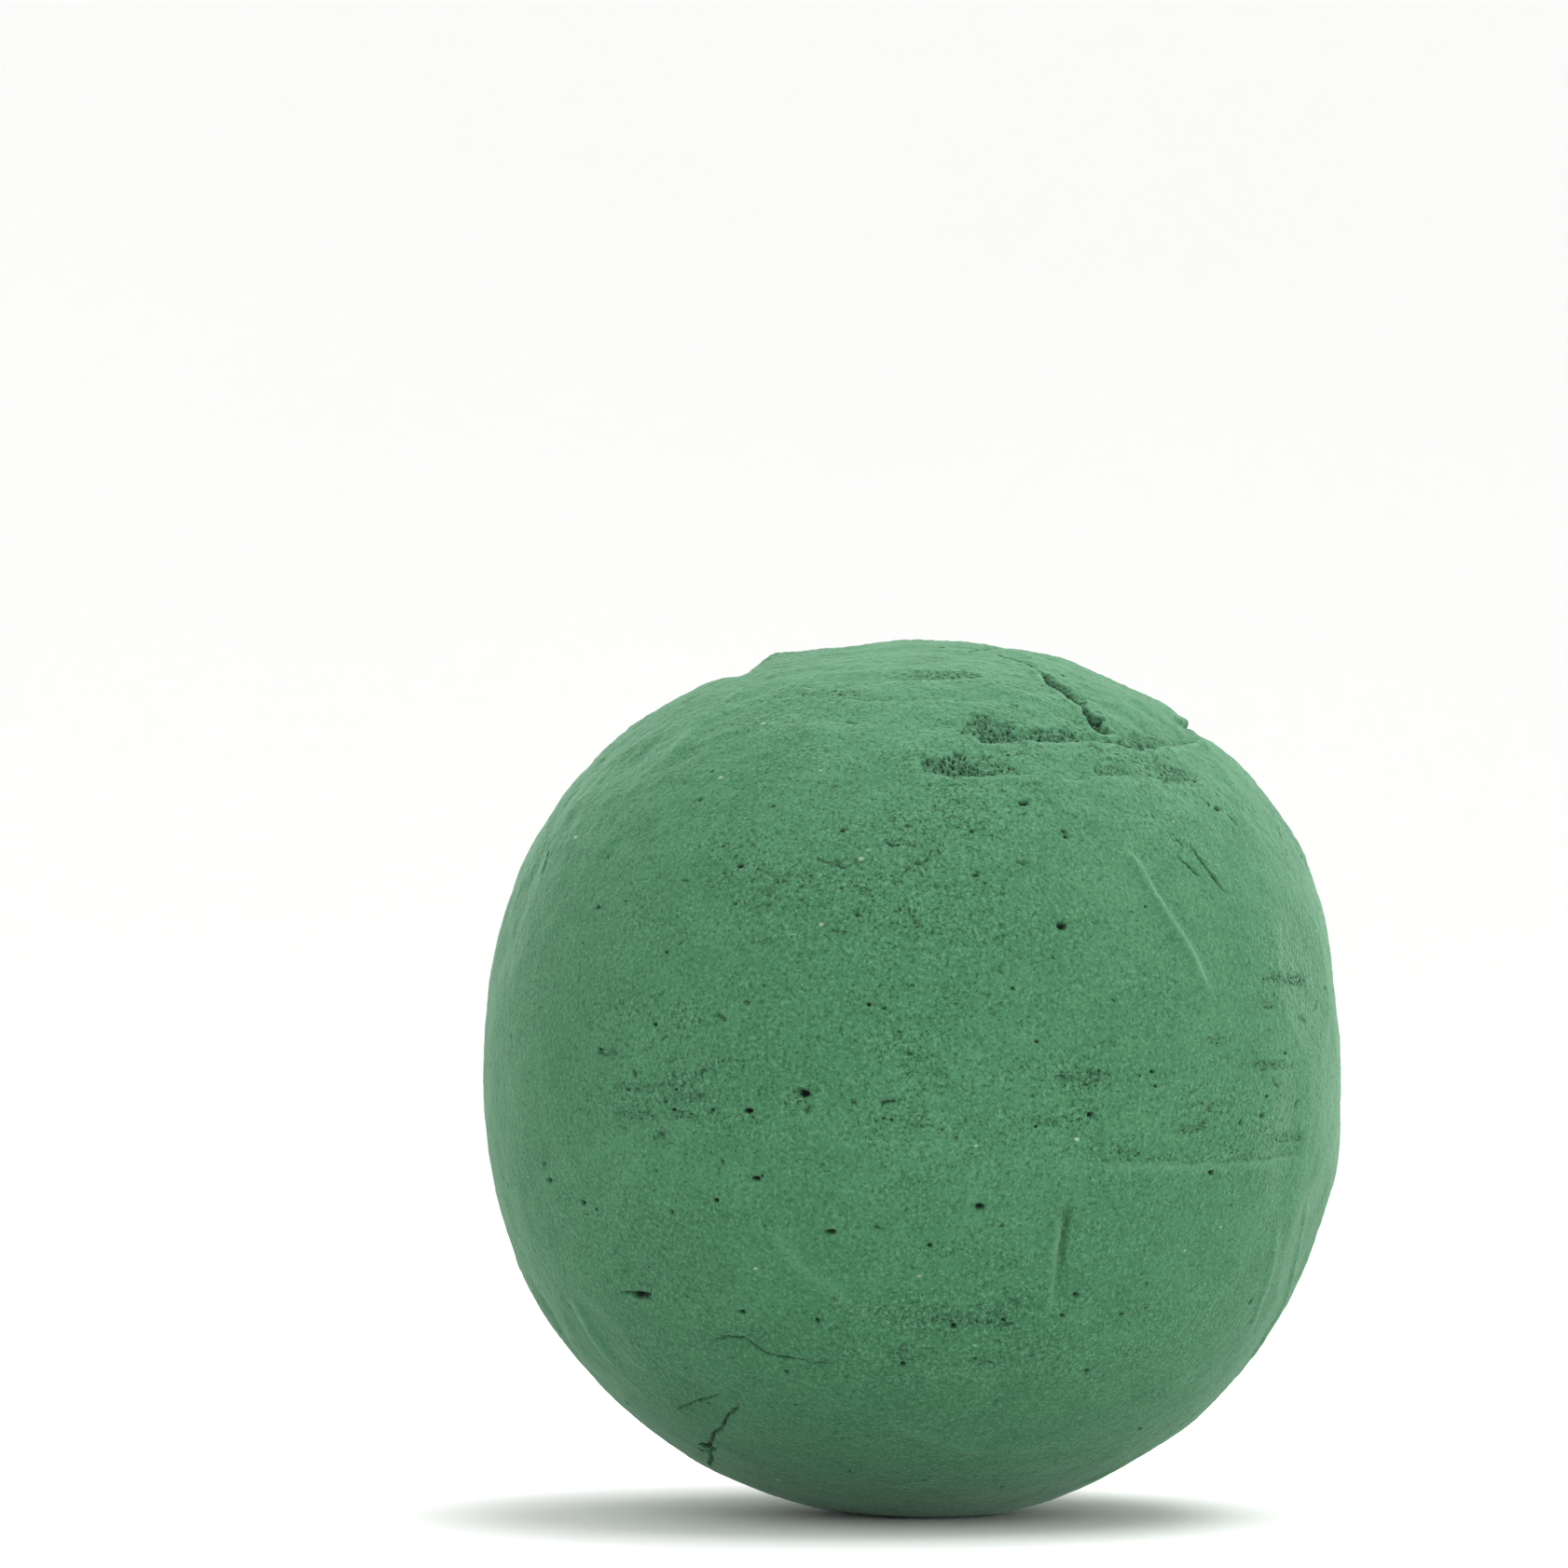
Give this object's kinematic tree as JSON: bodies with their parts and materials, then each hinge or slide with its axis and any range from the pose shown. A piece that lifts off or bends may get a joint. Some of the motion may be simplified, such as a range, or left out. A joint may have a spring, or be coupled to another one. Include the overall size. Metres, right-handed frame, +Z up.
{
  "type": "floral foam ball",
  "caption": "Ball of green open-cell floral foam, about 90 mm, slightly squared off, with a small crushed flat to rest on, open cells, a crack and nail marks.",
  "frame": {"origin": "centre of the small crushed flat that the ball rests on", "axes": "+Z up out of the resting flat through the ball, -Y the front of the ball, with the crack at the top on the +X side"},
  "size_m": [0.0879, 0.0886, 0.0895],
  "materials": {
    "foam": "matt, powdery, fine open cells"
  },
  "bodies": {
    "root": {"foam_ball": "foam"}
  },
  "joints": []
}
